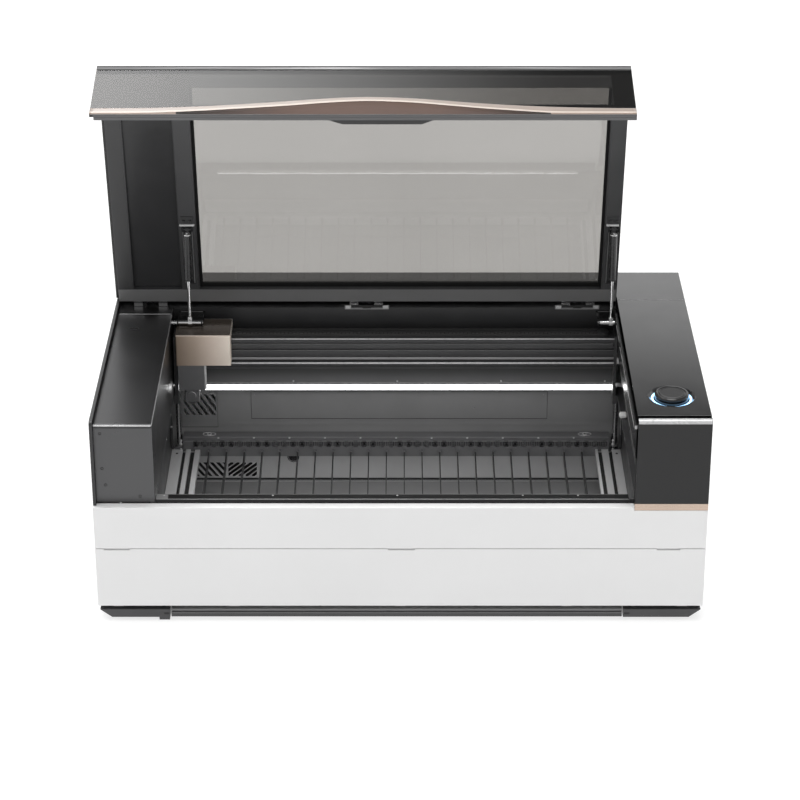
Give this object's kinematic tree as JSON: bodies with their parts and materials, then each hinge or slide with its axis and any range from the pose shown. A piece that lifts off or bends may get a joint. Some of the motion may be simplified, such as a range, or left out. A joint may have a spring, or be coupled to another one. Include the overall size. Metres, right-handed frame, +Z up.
{
  "type": "desktop laser cutter",
  "caption": "Enclosed flatbed laser cutter with a raised glass lid on gas struts, lifting slat bed, moving gantry and head, pull-out tray, drop-down front door and a lit start button.",
  "frame": {"origin": "on the ground, under the middle of the machine's overall box, rear duct included", "axes": "+X to the operator's right, +Y to the rear, +Z up; the front faces -Y"},
  "size_m": [1.2, 0.744, 1.0042],
  "materials": {
    "white_shell": "satin powder coat",
    "base_dark": "fine texture powder coat",
    "foot_rubber": "moulded rubber",
    "tray_metal": "satin anodised",
    "graphite_cover": "satin metallic",
    "gloss_black": "high gloss",
    "button_bezel": "gloss",
    "button_glow": "lit diffuser",
    "rose_gold": "anodised rose gold",
    "champagne": "anodised champagne",
    "sill_grey": "satin anodised",
    "chamber_steel": "satin powder coat",
    "diffuser_white": "lit diffuser",
    "beam_aluminium": "dark anodised",
    "bright_steel": "ground steel",
    "hinge_black": "satin black",
    "carriage_grey": "satin anodised",
    "bed_metal": "satin anodised",
    "slat_metal": "dark anodised",
    "belt_rubber": "toothed belt",
    "lid_metal": "satin dark anodised",
    "smoked_glass": "smoked tempered",
    "mask_black": "printed border",
    "tube_glass": "clear",
    "supply_metal": "plain",
    "black_plastic": "moulded"
  },
  "bodies": {
    "chassis": {"front_upper_panel": "white_shell", "side_panel_left": "white_shell", "side_panel_right": "white_shell", "rear_lower_panel": "white_shell", "base_rails": "base_dark", "feet": "foot_rubber", "left_cheek": "graphite_cover", "left_cover": "graphite_cover", "rear_upper_panel": "graphite_cover", "right_top_panel": "gloss_black", "right_front_panel": "gloss_black", "right_side_panel": "gloss_black", "rear_top_cover": "gloss_black", "button_housing": "button_bezel", "button_ring": "button_glow", "right_trim_strip": "rose_gold", "front_sill": "sill_grey", "chamber_front_wall": "chamber_steel", "chamber_side_walls": "chamber_steel", "chamber_rear_wall": "chamber_steel", "tube_wall": "chamber_steel", "hinge_rail": "chamber_steel", "right_inner_wall": "chamber_steel", "light_hood": "chamber_steel", "light_diffuser": "diffuser_white", "y_rails": "beam_aluminium", "lift_posts": "bright_steel", "strut_pins": "bright_steel", "lid_hinge_pins": "bright_steel", "door_hinge_rod": "bright_steel", "panel_screws": "bright_steel", "laser_tube": "tube_glass", "power_supply": "supply_metal", "exhaust_spigot": "black_plastic", "power_inlet": "black_plastic"},
    "tray": {"debris_tray": "tray_metal"},
    "door": {"front_door": "white_shell"},
    "button": {"start_button": "gloss_black"},
    "gantry": {"gantry_beam": "beam_aluminium", "gantry_ends": "beam_aluminium", "x_belt": "belt_rubber", "x_guide_rail": "bright_steel"},
    "head": {"head_cover": "champagne", "head_carriage": "carriage_grey"},
    "focus": {"focus_block": "carriage_grey"},
    "bed": {"bed_frame": "bed_metal", "bed_rear_comb": "bed_metal", "bed_slats": "slat_metal"},
    "lid": {"lid_frame": "lid_metal", "lid_top_glass": "smoked_glass", "lid_front_glass": "smoked_glass", "lid_mask": "mask_black", "lid_front_shell": "lid_metal", "lid_trim": "rose_gold", "lid_gasket": "belt_rubber", "lid_hinge_leaves": "hinge_black"},
    "strut_rods": {"strut_rods": "bright_steel"},
    "strut_cylinders": {"strut_cylinders": "hinge_black"},
    "fan": {"fan_rotor": "black_plastic"},
    "switch": {"power_switch": "black_plastic"}
  },
  "joints": [
    {"name": "lid_hinge", "type": "hinge", "parent": "chassis", "child": "lid", "pos_m": [0, 0.206, 0.44], "axis": [1, 0, 0], "range_deg": [0, 77]},
    {"name": "strut_pivot", "type": "hinge", "parent": "chassis", "child": "strut_rods", "pos_m": [0, 0.136, 0.421], "axis": [1, 0, 0], "range_deg": [-1, 93]},
    {"name": "strut_slide", "type": "slide", "parent": "strut_rods", "child": "strut_cylinders", "axis": [0, 0.0431, 0.9991], "range_m": [-0.0815, 0.001]},
    {"name": "door_hinge", "type": "hinge", "parent": "chassis", "child": "door", "pos_m": [0, -0.364, 0.036], "axis": [1, 0, 0], "range_deg": [0, 90]},
    {"name": "tray_slide", "type": "slide", "parent": "chassis", "child": "tray", "axis": [0, -1, 0], "range_m": [0, 0.4]},
    {"name": "button_press", "type": "slide", "parent": "chassis", "child": "button", "axis": [0, 0, -1], "range_m": [0, 0.002], "stiffness_N_per_m": 600, "springref_m": -0.004},
    {"name": "gantry_slide", "type": "slide", "parent": "chassis", "child": "gantry", "axis": [0, -1, 0], "range_m": [0, 0.41]},
    {"name": "head_slide", "type": "slide", "parent": "gantry", "child": "head", "axis": [1, 0, 0], "range_m": [0, 0.8]},
    {"name": "focus_slide", "type": "slide", "parent": "head", "child": "focus", "axis": [0, 0, -1], "range_m": [0, 0.012]},
    {"name": "bed_lift", "type": "slide", "parent": "chassis", "child": "bed", "axis": [0, 0, 1], "range_m": [0, 0.088]},
    {"name": "switch_rock", "type": "hinge", "parent": "chassis", "child": "switch", "pos_m": [0.468, 0.337, 0.131], "axis": [1, 0, 0], "range_deg": [0, 12]},
    {"name": "fan_spin", "type": "hinge", "parent": "chassis", "child": "fan", "pos_m": [-0.3, 0.306, 0.16], "axis": [0, 1, 0], "continuous": true}
  ],
  "couplings": [
    {"joint": "strut_pivot", "follows": "lid_hinge", "ratio": 1.1898},
    {"joint": "strut_slide", "follows": "lid_hinge", "m_per_rad": -0.059733}
  ]
}
